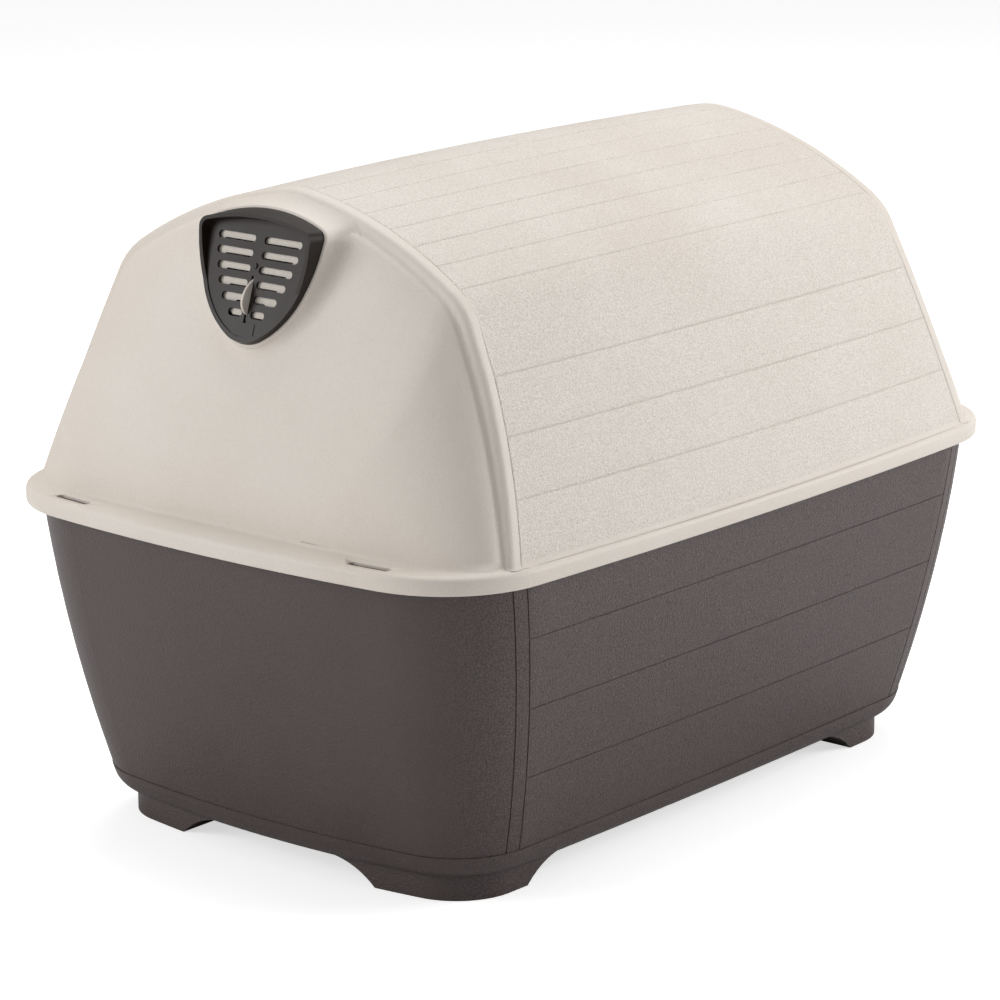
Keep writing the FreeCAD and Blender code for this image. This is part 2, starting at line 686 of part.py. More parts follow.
def vent_prism(corners, half_width):
    """A block across the vent from its outline in (up, out) and its half width."""
    points = [on_vent(-half_width, a, b) for a, b in corners]
    return Part.Face(Part.makePolygon(points + points[:1])).extrude(ACROSS * (2 * half_width))


def vent_rod(across, up, radius, low, high):
    return Part.makeCylinder(radius, high - low, on_vent(across, up, low), VENT_OUT)


def row_heights():
    return [ROW_TOP - i * ROW_PITCH for i in range(len(ROW_HALF_WIDTHS))]


def row_bar(side, inner, outer, middle, height, low, high):
    """A bar with round ends across one half of the vent."""
    r = height / 2

    def at(a, b):
        return on_vent(side * a, b, low)

    wire = Part.Wire([
        Part.makeLine(at(inner + r, middle - r), at(outer - r, middle - r)),
        arc(at(outer - r, middle - r), at(outer, middle), at(outer - r, middle + r)),
        Part.makeLine(at(outer - r, middle + r), at(inner + r, middle + r)),
        arc(at(inner + r, middle + r), at(inner, middle), at(inner + r, middle - r)),
    ])
    return prism(wire, high - low, VENT_OUT)


def pin_places():
    return ((PIN_ACROSS, PIN_AT), (-PIN_ACROSS, PIN_AT))


def vent_grille():
    hood = Part.makeLoft([vent_root(0.0, VENT_ROOT), vent_front(0.0, VENT_FRONT)], True, True)
    slope = (VENT_HOOD - VENT_LIP) / (VENT_HOOD_AT - VENT_HOOD_FROM)
    crest = VENT_ROOT_TOP + VENT_LIP
    sky = VENT_FRONT * 3
    crest_out = VENT_LIP + slope * (crest - VENT_HOOD_FROM)
    above = vent_prism([(VENT_ROOT_FOOT * 2, VENT_LIP), (VENT_HOOD_FROM, VENT_LIP), (crest, crest_out),
                        (crest, sky), (VENT_ROOT_FOOT * 2, sky)], VENT_HOOD_AT * 2)
    pocket = prism(vent_front(-VENT_HOOD_WALL, 0.0), sky, VENT_OUT)
    hollow = vent_block(-SPIGOT_INSET - SPIGOT_WALL, VENT_ROOT - SHELL, -VENT_FACE)
    spigot = vent_block(-SPIGOT_INSET, VENT_ROOT - SHELL, -VENT_FACE)
    body = hood.cut([above, pocket]).fuse(spigot).cut(hollow)
    adds = [vent_rod(a, b, PIN_RADIUS + PIN_BOSS_WALL, VENT_ROOT - SHELL, -VENT_FACE)
            for a, b in pin_places()]
    adds.append(vent_rod(0.0, BOSS_AT, BOSS_RADIUS, -VENT_FACE, BOSS_RISE))
    adds.append(vent_prism([(MARK_FROM, -VENT_FACE), (MARK_TO, -VENT_FACE), (MARK_TO, MARK_RISE),
                            (MARK_FROM, MARK_RISE)], MARK_HALF_WIDTH))
    body = body.fuse(adds)
    cuts = []
    for middle, outer in zip(row_heights(), ROW_HALF_WIDTHS):
        for side in (1, -1):
            cuts.append(row_bar(side, ROW_GAP, outer, middle, ROW_HEIGHT, -VENT_FACE - 1, 1))
    thumb_low = THUMB_TOP - THUMB_LENGTH - SHUTTER_TRAVEL - THUMB_SLOT_CLEARANCE
    thumb_high = THUMB_TOP + THUMB_SLOT_CLEARANCE
    cuts.append(vent_prism([(thumb_low, -VENT_FACE * 2), (thumb_high, -VENT_FACE * 2),
                            (thumb_high, VENT_FACE), (thumb_low, VENT_FACE)],
                           THUMB_THICK / 2 + THUMB_SLOT_CLEARANCE))
    for a, b in pin_places():
        cuts.append(vent_rod(a, b, PIN_RADIUS + PIN_CLEARANCE, VENT_ROOT - SHELL - 1, -PIN_COVER))
    return body.cut(cuts)


def vent_shutter():
    """Sliding plate with bars behind the slots, and the thumb tab that stands through the face."""
    low, high = VENT_ROOT, VENT_ROOT + SHUTTER_THICK
    full = vent_block(-SHUTTER_INSET, low, high)
    raised = full.copy()
    raised.translate(VENT_UP * SHUTTER_TRAVEL)
    plate = full.common(raised)
    top_edge = row_heights()[0] + SHUTTER_RAISE + SHUTTER_BAR / 2
    foot_edge = row_heights()[-1] + SHUTTER_RAISE - SHUTTER_BAR / 2
    plate = plate.common(vent_prism([(foot_edge, low - 1), (top_edge, low - 1), (top_edge, high + 1),
                                     (foot_edge, high + 1)], VENT_ROOT_TOP * 2))
    cuts = []
    window = ROW_PITCH - SHUTTER_BAR
    rise = ROW_PITCH / 2 + SHUTTER_RAISE
    for middle, outer in list(zip(row_heights(), ROW_HALF_WIDTHS))[1:]:
        for side in (1, -1):
            end = outer - ROW_HEIGHT / 2
            cuts.append(row_bar(side, ROW_GAP, end, middle + rise, window, low - 1, high + 1))
    top, foot = THUMB_TOP, THUMB_TOP - THUMB_LENGTH
    crest = THUMB_TOP - THUMB_LENGTH * THUMB_CREST
    mid = THUMB_REACH * THUMB_MID_REACH

    def at(up, out):
        return on_vent(-THUMB_THICK / 2, up, out)

    fin = Part.Wire([
        Part.makeLine(at(foot, low), at(top, low)),
        arc(at(top, low), at((top + crest) / 2 + THUMB_UPPER_SWELL, mid), at(crest, THUMB_REACH)),
        arc(at(crest, THUMB_REACH), at((crest + foot) / 2 - THUMB_LOWER_SWELL, mid), at(foot, low)),
    ])
    return plate.cut(cuts).fuse(prism(fin, THUMB_THICK, ACROSS))


def vent_retainer():
    """Frame inside the roof that clamps the grille and carries the shutter."""
    back = VENT_ROOT - SHELL - SEAT_GAP - RETAINER_THICK
    face = back + RETAINER_THICK
    guide = SPIGOT_INSET + SPIGOT_WALL + SHUTTER_GAP
    body = vent_block(-RETAINER_INSET, back, face).fuse(vent_block(-guide, face - 1, VENT_ROOT - SHUTTER_GAP))
    cuts = [vent_block(-RETAINER_WINDOW, back - 1, VENT_ROOT)]
    for a, b in pin_places():
        cuts.append(vent_rod(a, b, PIN_RADIUS + PIN_CLEARANCE, back - 1, face + 1))
        cuts.append(vent_rod(a, b, PIN_RADIUS + PIN_BOSS_WALL + SHUTTER_GAP, face, VENT_ROOT))
    return body.cut(cuts)


def vent_pins():
    """Two headed pins through the retainer into the grille."""
    back = VENT_ROOT - SHELL - SEAT_GAP - RETAINER_THICK
    pins = []
    for a, b in pin_places():
        shank = vent_rod(a, b, PIN_RADIUS, back - PIN_HEAD, -PIN_COVER - PIN_CLEARANCE)
        pins.append(shank.fuse(vent_rod(a, b, PIN_HEAD_RADIUS, back - PIN_HEAD, back)))
    return Part.makeCompound(pins)


# ---------------------------------------------------------------- feet, tabs, plug and door edging

def corner_foot(side, end):
    """One corner foot: a wall that follows the tub's corner, with its ends rising in an arch to the tub."""
    top = FOOT_HEIGHT + TUB_FOOT_ROUND / 2
    width, length, corner = TUB_FOOT_HALF_WIDTH, TUB_FOOT_HALF_LENGTH, TUB_FOOT_CORNER

    def ring(inset):
        wire = plan_wire(width - inset, length - inset, TUB_SIDE_BOW, TUB_END_BOW, corner - inset, 0.0)
        return prism(wire, top)

    body = ring(FOOT_STEP).cut(ring(FOOT_STEP + FOOT_DEPTH)).common(
        box(min(0, side * FAR), max(0, side * FAR), min(0, end * FAR), max(0, end * FAR), 0, FAR))
    rise = top - FOOT_HEIGHT

    def gap(reach, axis):
        """The arch between two feet, cut along the axis given."""
        other = ALONG if axis == ACROSS else ACROSS
        a = [other * -reach, other * (-reach + FOOT_ARCH_RUN) + UP * FOOT_ARCH_RISE,
             other * (-reach + FOOT_SPLAY) + UP * FOOT_HEIGHT]
        b = [p - other * (2 * p.dot(other)) for p in a]
        up_a, up_b = a[2] + UP * (rise + 1), b[2] + UP * (rise + 1)
        wire = Part.Wire([Part.makeLine(b[0], a[0]), arc(*a), Part.makeLine(a[2], up_a),
                          Part.makeLine(up_a, up_b), Part.makeLine(up_b, b[2]), arc(*reversed(b))])
        face = Part.Face(wire)
        face.translate(axis * -FAR)
        return face.extrude(axis * (2 * FAR))

    tub = tub_body(FOOT_HEIGHT, TUB_TOP, -SEAT_GAP - SKIRT_STEP, TUB_FOOT_ROUND)
    return body.cut([gap(FOOT_REAR_END, ALONG), gap(FOOT_SIDE_END, ACROSS), tub])


def rim_tab(place, turn):
    """Locking tab that stands in a notch of the tub's top edge and in the roof's slot."""
    fit = TAB_CLEARANCE * 2
    low = TUB_TOP - TAB_DEPTH + SEAT_GAP
    return bar(SLOT_LENGTH - fit, SLOT_WIDTH - fit, low, RIM_TOP - TAB_DROP, place, turn)


def drain_plug():
    """Flanged plug in the floor, with a finger bar."""
    floor_top = FOOT_HEIGHT + TUB_FLOOR
    middle = V(0, DRAIN_FROM_MIDDLE, 0)
    stem = Part.makeCylinder(DRAIN_HALF_BORE - DRAIN_CLEARANCE, TUB_FLOOR, middle + UP * FOOT_HEIGHT)
    flange = Part.makeCylinder(DRAIN_FLANGE, DRAIN_FLANGE_THICK, middle + UP * floor_top)
    grip_top = floor_top + DRAIN_FLANGE_THICK + DRAIN_GRIP_RISE
    grip = bar(DRAIN_GRIP_LENGTH, DRAIN_GRIP, floor_top, grip_top, middle, 0)
    return stem.fuse([flange, grip])


def door_trim(wall, low, high):
    """U-shaped edging round part of the doorway, over the wall that the function wall gives at an inset."""
    fit = SEAT_GAP + TRIM_WALL
    skin = wall(-fit).cut(wall(SHELL + fit))
    held = wall(-SEAT_GAP).cut(wall(SHELL + SEAT_GAP))
    span = box(-FAR, FAR, -FAR, 0, low, high)
    ring = door_prism(TRIM_LEG, FAR, TUB_FOOT_HALF_LENGTH / 2)
    ring = ring.cut(door_prism(-fit, FAR, TUB_FOOT_HALF_LENGTH / 4))
    slot = held.cut(door_prism(-SEAT_GAP, FAR, TUB_FOOT_HALF_LENGTH / 4))
    return skin.common(ring).common(span).cut(slot)


def door_trim_lower():
    def wall(inset):
        return tub_body(FOOT_HEIGHT + SHELL, TUB_TOP, inset)
    return door_trim(wall, 0, TUB_TOP - TUB_FLANGE - SEAT_GAP)


def door_trim_upper():
    def wall(inset):
        return dome(-1, FLANGE_UNDER - SHELL, inset)
    return door_trim(wall, RIM_TOP + SEAT_GAP, FAR)


NODES = {
    "base_tub": base_tub,
    "drain_plug": drain_plug,
    "door_trim_lower": door_trim_lower,
    "roof_shell": roof_shell,
    "door_trim_upper": door_trim_upper,
    "vent_grille": vent_grille,
    "vent_shutter": vent_shutter,
    "vent_retainer": vent_retainer,
    "vent_pins": vent_pins,
}
for foot_name, foot_side, foot_end in (("rear_left", 1, 1), ("rear_right", -1, 1),
                                       ("front_left", 1, -1), ("front_right", -1, -1)):
    NODES["foot_" + foot_name] = lambda side=foot_side, end=foot_end: corner_foot(side, end)
for tab_name, tab_place, tab_turn in slot_places():
    NODES["rim_tab_" + tab_name] = lambda place=tab_place, turn=tab_turn: rim_tab(place, turn)

if __name__ == "__main__":
    os.makedirs("parts", exist_ok=True)
    for name, make in NODES.items():
        make().exportStep("parts/" + name + ".step")
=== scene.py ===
from math import acos, asin, cos, degrees, pi, radians, sin, sqrt

import bmesh
import bpy
import numpy as np
from mathutils import Matrix, Vector
from mathutils.bvhtree import BVHTree


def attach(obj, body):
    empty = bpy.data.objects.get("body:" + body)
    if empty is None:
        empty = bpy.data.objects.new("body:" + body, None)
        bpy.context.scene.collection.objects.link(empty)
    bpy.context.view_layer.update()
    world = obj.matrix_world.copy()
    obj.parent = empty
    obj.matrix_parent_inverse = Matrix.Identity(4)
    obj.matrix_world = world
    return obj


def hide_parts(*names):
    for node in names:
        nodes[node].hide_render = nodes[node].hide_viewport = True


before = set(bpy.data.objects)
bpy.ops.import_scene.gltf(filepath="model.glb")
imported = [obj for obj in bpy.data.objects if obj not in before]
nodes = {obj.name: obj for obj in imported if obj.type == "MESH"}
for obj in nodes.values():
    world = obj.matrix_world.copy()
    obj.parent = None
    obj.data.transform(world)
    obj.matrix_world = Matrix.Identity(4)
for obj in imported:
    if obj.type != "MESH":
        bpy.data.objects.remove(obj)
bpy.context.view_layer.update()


# ---- Tub
# One deep moulding in dark brown polypropylene with a leather grain; on its long sides the grain's flecks are
# strengthened with painted highlight and shade.
# It tapers so that it lifts out of its mould. Handling leaves faint scuffs, and a little dust lies low.

patch_scale, patch_low, patch_high = 5.0, 0.3, 0.7       # slow drift of tone over the walls
speck_scale, cell_scale, fine_scale = 0.9, 0.62, 1.1     # for a grain one metre wide
fleck_mean, fleck_spread = 0.5, 0.14                     # where the grain turns light or dark
light_fleck_painted_highlight, dark_fleck_painted_shade = 1.9, 0.35                      # its flecks, partly painted highlight and shade, as shares of the shade
smoother, rougher = 0.05, 0.06                           # drift of the roughness
painted_shade_lean_start, painted_shade_lean_full = 0.45, 0.9                      # sideways lean over which the flecks grow stronger as painted highlight and shade of the grain
grain_strength = 0.8
scuff_stretch, scuff_turn = (9.0, 9.0, 60.0), (0.25, 0.1, 0.0)
scuff_from, scuff_full = 0.66, 0.78
dust_full, dust_gone = 0.02, 0.14                        # heights in metres
vein_stretch = (520.0, 26.0, 520.0)                      # wood veins run along the house


def colour(r, g, b):
    """A colour written as seen on a screen, 0 to 255, as Blender's linear one."""
    return [((c / 255 + 0.055) / 1.055) ** 2.4 if c > 10 else c / 3294.6 for c in (r, g, b)] + [1.0]


def brightened(shade, share):
    return tuple(min(1.0, share * c) for c in shade[:3]) + (1.0,)


def add_node(tree, kind, inputs=None, **settings):
    """A new shader node; each input is a plain value or another node's output."""
    made = tree.nodes.new(kind)
    for key, value in settings.items():
        setattr(made, key, value)
    for key, value in (inputs or {}).items():
        if isinstance(value, bpy.types.NodeSocket):
            tree.links.new(value, made.inputs[key])
        else:
            made.inputs[key].default_value = value
    return made


def noise(tree, place, scale, detail, **more):
    inputs = {"Vector": place, "Scale": scale, "Detail": detail, **more}
    return add_node(tree, "ShaderNodeTexNoise", inputs).outputs["Fac"]


def stretched(tree, place, scale, turn=(0.0, 0.0, 0.0)):
    inputs = {"Vector": place, "Scale": scale, "Rotation": turn}
    return add_node(tree, "ShaderNodeMapping", inputs).outputs[0]


def mixed(tree, factor, first, second):
    return add_node(tree, "ShaderNodeMix", {0: factor, 6: first, 7: second}, data_type="RGBA").outputs[2]


def spread(tree, value, low, high, to_low=0.0, to_high=1.0):
    inputs = {0: value, 1: low, 2: high, 3: to_low, 4: to_high}
    return add_node(tree, "ShaderNodeMapRange", inputs).outputs[0]


def reckoned(tree, operation, first, second=0.0):
    return add_node(tree, "ShaderNodeMath", {0: first, 1: second}, operation=operation).outputs[0]


def axis_of(tree, vector, axis):
    return add_node(tree, "ShaderNodeSeparateXYZ", {"Vector": vector}).outputs[axis]


def grain_tone_and_painted_shade(tree, place, tone, shade, grain, grain_and_painted_shade_on_sides, on_ends):
    """Light and dark flecks of the grain, stronger on faces that look sideways, where the extra is painted
    highlight and shade of the grain.
    """
    # The grain's own tone, with painted highlight and shade of its bumps added on faces that look sideways.
    normal = add_node(tree, "ShaderNodeNewGeometry").outputs["Normal"]
    sideways = reckoned(tree, "ABSOLUTE", axis_of(tree, normal, 0))
    strength = spread(tree, sideways, painted_shade_lean_start, painted_shade_lean_full, on_ends, grain_and_painted_shade_on_sides)
    speck = noise(tree, place, speck_scale / grain, 1.0)
    above = spread(tree, speck, fleck_mean, fleck_mean + fleck_spread)
    below = spread(tree, speck, fleck_mean, fleck_mean - fleck_spread)
    tone = mixed(tree, reckoned(tree, "MULTIPLY", above, strength), tone, brightened(shade, light_fleck_painted_highlight))
    return mixed(tree, reckoned(tree, "MULTIPLY", below, strength), tone, brightened(shade, dark_fleck_painted_shade))


def scuffed(tree, place, tone, strength, shade):
    """Fine slanting streaks where hands and floors have rubbed."""
    streaks = noise(tree, stretched(tree, place, scuff_stretch, scuff_turn), 3.0, 6.0)
    return mixed(tree, spread(tree, streaks, scuff_from, scuff_full, 0.0, strength), tone, shade)


def dusted(tree, place, tone, patches, strength):
    low = spread(tree, axis_of(tree, place, 2), dust_full, dust_gone, 1.0, 0.0)
    settled = reckoned(tree, "MULTIPLY", low, spread(tree, patches, 0.35, 0.7, 0.0, strength))
    return mixed(tree, settled, tone, colour(150, 138, 124))


def leather_bumps(tree, place, grain, depth):
    cell_inputs = {"Vector": place, "Scale": cell_scale / grain}
    cells = add_node(tree, "ShaderNodeTexVoronoi", cell_inputs, feature="SMOOTH_F1").outputs["Distance"]
    fine = spread(tree, noise(tree, place, fine_scale / grain, 3.0), 0.0, 1.0, 0.0, 0.8)
    inputs = {"Height": reckoned(tree, "ADD", cells, fine), "Strength": grain_strength, "Distance": depth}
    return add_node(tree, "ShaderNodeBump", inputs).outputs[0]


def wood_veins(tree, place, depth, under):
    veins = noise(tree, stretched(tree, place, vein_stretch), 1.0, 3.0, Distortion=0.8)
    inputs = {"Height": veins, "Strength": grain_strength, "Distance": depth, "Normal": under}
    return add_node(tree, "ShaderNodeBump", inputs).outputs[0]


def grained(name, shades, rough, grain, depth, gloss=0.4, flecks=(0.1, 0.1), scuffs=None, dust=0.0,
            veins=0.0):
    """Moulded plastic or rubber with a leather grain of a size and depth in metres.

    shades are its main, light and dark tone; flecks the strength of the grain's tone on the sides and
    elsewhere, the extra on the sides being painted highlight and shade; scuffs a strength and a colour; veins
    the depth of a wood grain."""
    material = bpy.data.materials.new(name)
    material.use_nodes = True
    tree = material.node_tree
    surface = tree.nodes["Principled BSDF"]
    place = tree.nodes.new("ShaderNodeTexCoord").outputs["Object"]
    shade, light, dark = (colour(*tone) for tone in shades)
    patches = noise(tree, place, patch_scale, 4.0, Roughness=0.55)
    tone = mixed(tree, spread(tree, patches, patch_low, patch_high), dark, light)
    tone = grain_tone_and_painted_shade(tree, place, tone, shade, grain, *flecks)
    if scuffs:
        tone = scuffed(tree, place, tone, scuffs[0], colour(*scuffs[1]))
    if dust:
        tone = dusted(tree, place, tone, patches, dust)
    bump = leather_bumps(tree, place, grain, depth)
    if veins:
        bump = wood_veins(tree, place, veins, bump)
    wear = spread(tree, patches, patch_low, patch_high, rough - smoother, rough + rougher)
    tree.links.new(tone, surface.inputs["Base Color"])
    tree.links.new(wear, surface.inputs["Roughness"])
    tree.links.new(bump, surface.inputs["Normal"])
    surface.inputs["Specular IOR Level"].default_value = gloss
    return material


def dress(node_name, material):
    """Gives a CAD node its finish."""
    finishes = nodes[node_name].data.materials
    finishes.clear()
    finishes.append(material)


# Grain flecks are 0.7 on the long sides and 0.16 on the ends: the extra on the sides is painted highlight and
# shade of the grain.
tub_plastic = grained(
    "tub_brown_polypropylene", ((74, 62, 61), (79, 67, 66), (68, 56, 55)), rough=0.44, grain=0.0012,
    depth=0.0005, gloss=0.55, flecks=(0.7, 0.16), scuffs=(0.04, (110, 102, 97)), dust=0.05)
dress("base_tub", tub_plastic)


# ---- Feet
# Four short walls that follow the tub's corners and lift its floor clear of wet ground.
# They are moulded in the tub's own plastic and fixed under its floor.

for name in nodes:
    if name.startswith("foot_"):
        dress(name, tub_plastic)


# ---- Drain plug
# A plug that is pulled to let water out when the house is washed.
# It is moulded in soft black rubber and pushed into the hole in the tub's floor from above.

drain_rubber = grained(
    "drain_plug_rubber", ((42, 40, 39), (50, 47, 45), (34, 32, 31)), rough=0.62, grain=0.0008, depth=0.0001)
dress("drain_plug", drain_rubber)


# ---- Doorway edging
# Two strips of U section that cover the edges of the doorway, one on the tub and one on the roof.
# They are moulded in brown polypropylene and pressed over the walls.

edging_plastic = grained(
    "edging_polypropylene", ((70, 60, 56), (76, 66, 62), (62, 53, 50)), rough=0.42, grain=0.0016,
    depth=0.0001, scuffs=(0.05, (100, 92, 86)))
dress("door_trim_lower", edging_plastic)
dress("door_trim_upper", edging_plastic)


# ---- Roof shell
# One barrel-shaped moulding in beige polypropylene, with plank lines, a rib at each end, bulged end walls,
# and a rim that turns down over the tub. The doorway, the vent's hole and four tab slots are cut in it.
# Sizes are in millimetres, with x across, y along and z up.

rim_top, rim_bottom, wall_thickness = 318.5, 302.5, 3.5
rim_half_width, rim_half_length = 294.0, 433.0
rim_side_bow, rim_end_bow, rim_corner, rim_edge_round = 15.0, 24.0, 106.0, 5.0
wall_foot = rim_top + 4.0
half_span, crown_height = 276.0, 286.0        # of the barrel over the rim, for the share that its crown adds
plank_end, rake = 320.0, 0.0823               # where the planks end at the rim, and how that leans in
side_crown, top_crown = 12.0, 4.0             # how much fuller the barrel is in its middle
top_arc = (-54.6, 173.3, 435.6)               # middle x, middle z and radius of the top planks
shoulder_radius, side_radius = 72.4, 989.0
shoulder_start, shoulder_end = 32.8, 64.15    # in degrees of lean
top_lines = (14.6, 45.0, 74.0, 103.0, 130.0, 156.5)
shoulder_line = 183.4
side_lines = (470.0, 422.0, 372.0)
plank_line_half, plank_line_depth = 0.8, 0.85
plank_line_profile = ((-1.8, 0.0), (-1.0, 0.1), (-0.4, 1.0), (0.4, 1.0), (1.0, 0.1), (1.8, 0.0))
strip_width = 9.0                             # of the mesh between plank lines
bridge_low, bridge_high = 513.0, 533.0        # the line across the plank ends is broken here, at the shoulder
swing_top, foot_swing, foot_narrow = 480.0, 14.0, 3.6
rib_profile = ((0.85, 0.0), (1.4, 0.0), (4.0, 0.0), (7.5, 0.0), (9.6, 0.35), (11.4, 1.3), (12.8, 2.8),
               (13.6, 4.6), (14.0, 6.6), (14.4, 8.5), (15.5, 10.1), (17.1, 11.2), (19.0, 11.6))
rib_step = rib_profile[-1][1]                 # each pair is: beyond the planks, in from their surface
cove_start, cove_run = 6.5, 4.5
dome_start, dome_lead, dome_reach, dome_rows, dome_turn = 9.0, 10.0, 69.0, 26, 87.0
barrel_steps = 34


def next_arc(arc, turn, radius):
    """The arc that goes on smoothly from another one at a lean of turn degrees."""
    x, z, r = arc
    return x + (r - radius) * sin(radians(turn)), z + (r - radius) * cos(radians(turn)), radius


shoulder_arc = next_arc(top_arc, shoulder_start, shoulder_radius)
side_arc = next_arc(shoulder_arc, shoulder_end, side_radius)
ridge_turn = degrees(asin((top_lines[0] - top_arc[0]) / top_arc[2]))
foot_turn = degrees(acos((wall_foot - side_arc[1]) / side_arc[2]))


def arc_at(turn):
    return top_arc if turn <= shoulder_start else shoulder_arc if turn <= shoulder_end else side_arc


def arch(turn, inset=0.0):
    """Right half of the roof's cross-section: x and z of the point whose normal leans out by turn degrees."""
    x, z, r = arc_at(turn)
    if turn >= ridge_turn:
        return x + (r - inset) * sin(radians(turn)), z + (r - inset) * cos(radians(turn))
    edge = x + (r - inset) * sin(radians(ridge_turn))
    ridge_radius = edge / sin(radians(ridge_turn))
    middle = z + (r - inset - ridge_radius) * cos(radians(ridge_turn))
    return ridge_radius * sin(radians(turn)), middle + ridge_radius * cos(radians(turn))


def arch_columns():
    """Turns along the half section with the scribed depth there: plain strips between the plank lines."""
    turns = [degrees(asin((x - top_arc[0]) / top_arc[2])) for x in top_lines]
    turns.append(degrees(asin((shoulder_line - shoulder_arc[0]) / shoulder_arc[2])))
    turns += [degrees(acos((z - side_arc[1]) / side_arc[2])) for z in side_lines]
    found = [(0.0, 0.0)]
    start = 0.0
    for turn in turns + [foot_turn]:
        step = degrees(plank_line_half / arc_at(turn)[2])
        profile = () if turn == foot_turn else plank_line_profile
        line = [(turn + side * step, depth) for side, depth in profile]
        stop = line[0][0] if line else foot_turn
        length = radians(stop - start) * arc_at((stop + start) / 2)[2]
        strips = max(2, round(length / strip_width))
        found += [(start + (stop - start) * i / strips, 0.0) for i in range(1, strips)]
        found += line
        start = found[-1][0]
    return found + [(foot_turn, 0.0)]


columns = arch_columns()


def raked(z, beyond=0.0):
    return plank_end + beyond - rake * (z - rim_top)


def swing(z):
    """How far the end of the planks and the rib stand out towards the foot."""
    return foot_swing * max(0.0, (swing_top - z) / (swing_top - wall_foot)) ** 1.6


def narrowing(turn):
    """How much shallower the rib's step gets towards the foot."""
    return foot_narrow * max(0.0, (turn - shoulder_end) / (foot_turn - shoulder_end)) ** 1.6


def mirrored_row(place):
    right_half = [place(turn, depth) for turn, depth in columns]
    return [(-x, y, z) for x, y, z in reversed(right_half[1:])] + right_half


def barrel_row(share, shift=0.0, scribed=0.0):
    """A row of the planks at a share of the way from the middle to an end."""
    fullness = 1.0 - share ** 2

    def place(turn, depth):
        bridged = bridge_low < arch(turn)[1] < bridge_high
        x, z = arch(turn, plank_line_depth * max(depth, 0.0 if bridged else scribed))
        x *= 1.0 + side_crown / half_span * fullness
        z = rim_top + (z - rim_top) * (1.0 + top_crown / crown_height * fullness)
        return x, share * (raked(z) + swing(z)) + shift, z
    return mirrored_row(place)


def rib_row(end, beyond, inset):
    """A row over the rib at a plank end; end is 1 for the rear, -1 for the front."""
    coved = min(1.0, max(0.0, (inset - cove_start) / cove_run))

    def place(turn, _):
        x, z = arch(turn, inset - narrowing(turn) * coved)
        return x, end * (raked(z, beyond) + swing(z)), z
    return mirrored_row(place)


def dome_row(end, share):
    """A row of the bulged end wall at a share of its reach."""
    wide = (1.0 - share ** 2.5) ** 0.2
    high = (1.0 - share ** 1.4) ** (1.0 / 1.75)
    out = dome_start + dome_lead * (1.0 - share) ** 3 + dome_reach * share

    def place(turn, _):
        x, z = arch(turn, rib_step - narrowing(turn))
        z = wall_foot + (z - wall_foot) * high
        return x * wide, end * (raked(z, out) + swing(z) * (1.0 - share) ** 2), z
    return mirrored_row(place)


def end_rows(end):
    rows = [rib_row(end, beyond, inset) for beyond, inset in rib_profile]
    rows += [dome_row(end, sin(radians(dome_turn * i / dome_rows))) for i in range(1, dome_rows + 1)]
    return rows + [[(x, y, wall_foot) for x, y, _ in rows[-1]]]


def barrel_rows():
    """All rows of the planks from front to rear, with the line scribed across both plank ends."""
    line = ((-0.36, 1.0), (0.36, 1.0), (0.85, 0.0), (1.4, 0.0))
    rows = [barrel_row(-1, shift, scribed) for shift, scribed in line]
    rows += [barrel_row(i / barrel_steps) for i in range(1 - barrel_steps, barrel_steps)]
    return rows + [barrel_row(1, -shift, scribed) for shift, scribed in reversed(line)]


def rim_end_radius():
    return (rim_half_width ** 2 + rim_end_bow ** 2) / (2 * rim_end_bow)


def rim_outline():
    """The rim's outer edge as close points, anticlockwise from the middle of the front."""
    side_r = (rim_half_length ** 2 + rim_side_bow ** 2) / (2 * rim_side_bow)
    end_r = rim_end_radius()
    side_x, end_y = rim_half_width - side_r, rim_half_length - end_r
    span = sqrt(side_x ** 2 + end_y ** 2)
    along = ((side_r - rim_corner) ** 2 - (end_r - rim_corner) ** 2 + span ** 2) / (2 * span)
    off = sqrt((side_r - rim_corner) ** 2 - along ** 2)
    corner_x = side_x + (-along * side_x - off * end_y) / span
    corner_y = (along * end_y - off * side_x) / span
    end_turn = asin(corner_x / (end_r - rim_corner))
    side_turn = asin(corner_y / (side_r - rim_corner))

    def sweep(first, last):
        return np.linspace(first, last, 400, endpoint=False)

    quarter = [(end_r * sin(a), -(end_y + end_r * cos(a))) for a in sweep(0.0, end_turn)]
    quarter += [(corner_x + rim_corner * sin(a), -(corner_y + rim_corner * cos(a)))
                for a in sweep(end_turn, pi / 2 - side_turn)]
    quarter += [(side_x + side_r * cos(a), -side_r * sin(a)) for a in sweep(side_turn, 0.0)]
    right_side = quarter + [(x, -y) for x, y in reversed(quarter[1:])]
    return np.array(right_side + [(-x, y) for x, y in reversed(right_side[1:])])


def nearest_edge(foot, first_row):
    """For each point round the foot of the walls, the point of the rim's edge that the flange runs out to."""
    outline = rim_outline()
    nearest = np.array([int(np.argmin(((outline - p) ** 2).sum(axis=1))) for p in foot])
    steps = (nearest - nearest[0]) % len(outline)
    steps[:first_row] = np.where(steps[:first_row] > len(outline) // 2, 0, steps[:first_row])
    return outline[(np.maximum.accumulate(steps) + nearest[0]) % len(outline)]


def rim_rings():
    """Cove, flange, rounded edge and lip: distance from the wall's foot or the rim's edge, and height."""
    rings = [(0.3, None, 321.0), (1.0, None, 319.9), (2.2, None, 319.0), (4.0, None, 318.55)]
    for a in (0.0, 22.5, 45.0, 67.5, 90.0):
        drop = rim_edge_round * (1.0 - cos(radians(a)))
        rings.append((None, rim_edge_round * (1.0 - sin(radians(a))), rim_top - drop))
    return rings + [(None, 0.0, 304.3), (None, 0.3, 303.3), (None, 0.8, 302.7), (None, 1.4, rim_bottom)]


